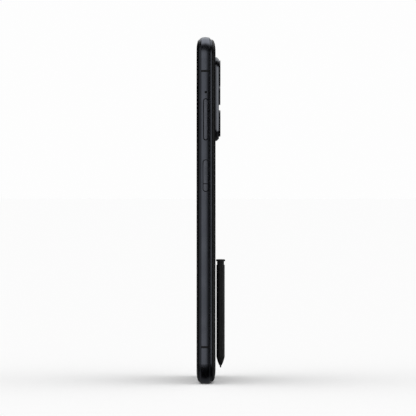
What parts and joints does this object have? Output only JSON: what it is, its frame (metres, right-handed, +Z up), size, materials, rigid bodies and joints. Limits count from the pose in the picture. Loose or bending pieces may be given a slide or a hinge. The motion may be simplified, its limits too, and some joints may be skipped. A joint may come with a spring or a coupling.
{
  "type": "smartphone",
  "caption": "Bar smartphone with a rounded metal band, raised camera island, side keys, card tray and a click stylus held on its back.",
  "frame": {"origin": "middle of the bottom edge, at the mouth of the charging port, in the plane the phone stands on", "axes": "+X is the key side, -Y is the screen, +Y is the back and +Z is up"},
  "size_m": [0.0763, 0.0135, 0.1631],
  "materials": {
    "front_glass": "polished, black behind",
    "display_panel": "display that is switched off",
    "display_backing": "copper and foam film",
    "adhesive": "black adhesive",
    "flex": "polyimide flex",
    "mid_frame": "satin anodised",
    "antenna_breaks": "moulded plastic",
    "rear_cover": "soft satin",
    "camera_island": "satin anodised",
    "camera_rings": "dark polished",
    "lens_glass": "coated lens glass",
    "camera_module": "black lens housing",
    "flash_lens": "moulded diffuser",
    "flash_led": "phosphor",
    "front_camera": "black lens housing",
    "mesh": "woven mesh",
    "board": "circuit board",
    "shield": "tinned steel",
    "processor": "moulded package",
    "heat_spreader": "copper",
    "battery": "black foil pouch",
    "coil": "copper coil film",
    "coax": "jacketed cable",
    "usb_port": "steel shell",
    "usb_tongue": "black moulding",
    "speaker": "black moulding",
    "motor_case": "steel case",
    "motor_mass": "heavy alloy",
    "inner_cover": "black moulding",
    "screws": "steel",
    "keys": "satin anodised",
    "sim_tray": "satin anodised",
    "seal": "black rubber",
    "silo": "black tube",
    "magnets": "plated magnet",
    "stylus_body": "matte black",
    "stylus_nib": "acetal tip",
    "stylus_core": "ferrite and coil",
    "spring": "spring steel"
  },
  "bodies": {
    "phone": {"front_glass": "front_glass", "display_panel": "display_panel", "display_backing": "display_backing", "display_adhesive": "adhesive", "display_flex": "flex", "earpiece_mesh": "mesh", "mid_frame": "mid_frame", "antenna_breaks": "antenna_breaks", "chassis_screws": "screws", "key_flex": "flex", "sim_socket": "shield", "rear_cover": "rear_cover", "cover_adhesive": "adhesive", "camera_island": "camera_island", "main_camera_ring": "camera_rings", "wide_camera_ring": "camera_rings", "macro_camera_ring": "camera_rings", "main_camera_glass": "lens_glass", "wide_camera_glass": "lens_glass", "macro_camera_glass": "lens_glass", "main_camera_module": "camera_module", "wide_camera_module": "camera_module", "macro_camera_module": "camera_module", "flash_led": "flash_led", "flash_lens": "flash_lens", "front_camera": "front_camera", "main_board": "board", "board_shields": "shield", "processor": "processor", "heat_spreader": "heat_spreader", "upper_antenna_cover": "inner_cover", "earpiece": "speaker", "battery": "battery", "battery_flex": "flex", "main_flex": "flex", "charging_coil": "coil", "antenna_coax": "coax", "usb_port": "usb_port", "usb_tongue": "usb_tongue", "sub_board": "board", "lower_antenna_cover": "inner_cover", "loudspeaker": "speaker", "loudspeaker_mesh": "mesh", "microphones": "shield", "vibration_case": "motor_case", "stylus_silo": "silo", "hold_magnets": "magnets"},
    "volume_key": {"volume_key": "keys"},
    "power_key": {"power_key": "keys"},
    "card_tray": {"sim_tray": "sim_tray", "sim_tray_seal": "seal"},
    "main_focus": {"main_lens_barrel": "camera_module"},
    "wide_focus": {"wide_lens_barrel": "camera_module"},
    "motor_mass": {"vibration_mass": "motor_mass"},
    "stylus": {"stylus_barrel": "stylus_body", "stylus_cone": "stylus_body", "stylus_core": "stylus_core", "stylus_spring": "spring"},
    "stylus_cap": {"stylus_cap": "stylus_body"},
    "stylus_nib": {"stylus_nib": "stylus_nib"}
  },
  "joints": [
    {"name": "volume_key_rock", "type": "hinge", "parent": "phone", "child": "volume_key", "pos_m": [0.0351, 0, 0.12435], "axis": [0, 1, 0], "range_deg": [-1.3, 1.3], "stiffness_Nm_per_rad": 0.34},
    {"name": "power_key_press", "type": "slide", "parent": "phone", "child": "power_key", "axis": [-1, 0, 0], "range_m": [0, 0.00025], "stiffness_N_per_m": 1500},
    {"name": "card_tray_pull", "type": "slide", "parent": "phone", "child": "card_tray", "axis": [-1, 0, 0], "range_m": [0, 0.03]},
    {"name": "main_lens_focus", "type": "slide", "parent": "phone", "child": "main_focus", "axis": [0, 1, 0], "range_m": [0, 0.0003], "stiffness_N_per_m": 200},
    {"name": "wide_lens_focus", "type": "slide", "parent": "phone", "child": "wide_focus", "axis": [0, 1, 0], "range_m": [0, 0.0003], "stiffness_N_per_m": 200},
    {"name": "motor_mass_swing", "type": "slide", "parent": "phone", "child": "motor_mass", "axis": [1, 0, 0], "range_m": [-0.0003, 0.0003], "stiffness_N_per_m": 3000},
    {"name": "stylus_pull_off", "type": "slide", "parent": "phone", "child": "stylus", "axis": [0, 1, 0], "range_m": [0, 0.03]},
    {"name": "stylus_cap_click", "type": "slide", "parent": "stylus", "child": "stylus_cap", "axis": [0, 0, -1], "range_m": [0, 0.0012], "stiffness_N_per_m": 400, "deforming": ["stylus_spring"]},
    {"name": "stylus_nib_press", "type": "slide", "parent": "stylus", "child": "stylus_nib", "axis": [0, 0, 1], "range_m": [0, 0.0003], "stiffness_N_per_m": 1000}
  ]
}
